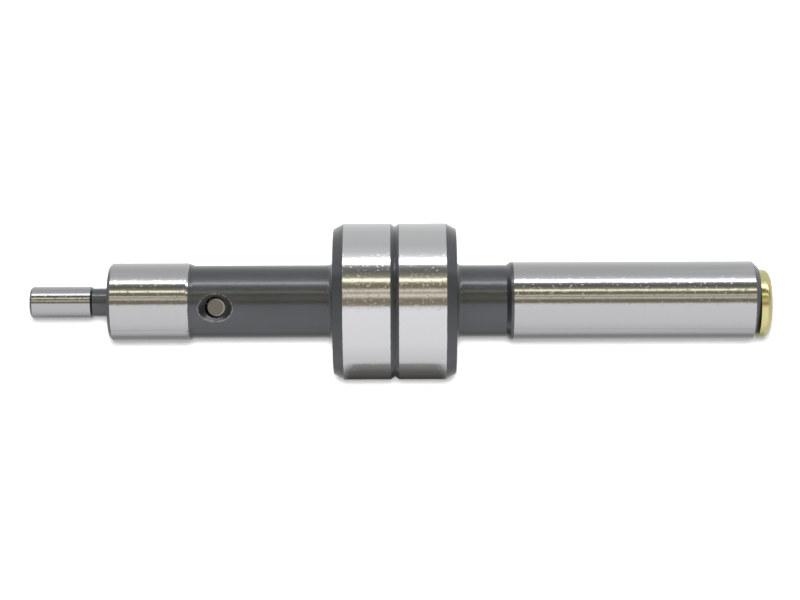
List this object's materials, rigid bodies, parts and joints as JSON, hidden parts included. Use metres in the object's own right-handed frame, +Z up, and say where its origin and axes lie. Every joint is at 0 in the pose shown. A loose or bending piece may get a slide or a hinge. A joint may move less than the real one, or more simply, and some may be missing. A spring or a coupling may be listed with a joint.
{
  "type": "edge finder",
  "caption": "Mechanical edge finder: stepped round shank half and contact half that meet on a large split ring, held together by a hidden spring between a cross pin and a brass cap.",
  "frame": {"origin": "on the tool's axis, in the middle of the shank's ground gripping length", "axes": "+X along the axis from the contact tip towards the brass cap, +Z up with the tool laid level"},
  "size_m": [0.0944, 0.02, 0.02],
  "materials": {
    "shank_steel": "ground and lapped, with the necks and bevels left blackened",
    "contact_steel": "ground and lapped, with the neck, undercut and bevels left blackened",
    "pin_steel": "satin",
    "brass": "polished",
    "spring_wire": "drawn wire"
  },
  "bodies": {
    "shank": {"shank_body": "shank_steel"},
    "cap": {"end_cap": "brass"},
    "spring": {"tension_spring": "spring_wire"},
    "contact": {"contact_body": "contact_steel", "cross_pin": "pin_steel"}
  },
  "joints": [
    {"name": "contact_swivel", "type": "hinge", "parent": "shank", "child": "cap", "pos_m": [0.01603, 0, 0], "axis": [1, 0, 0], "continuous": true},
    {"name": "contact_pull", "type": "slide", "parent": "cap", "child": "spring", "axis": [-1, 0, 0], "range_m": [0, 0.003], "stiffness_N_per_m": 4300, "springref_m": -0.0044, "deforming": ["tension_spring"]},
    {"name": "contact_offset", "type": "slide", "parent": "spring", "child": "contact", "axis": [0, 1, 0], "range_m": [-0.0015, 0.0015]}
  ]
}
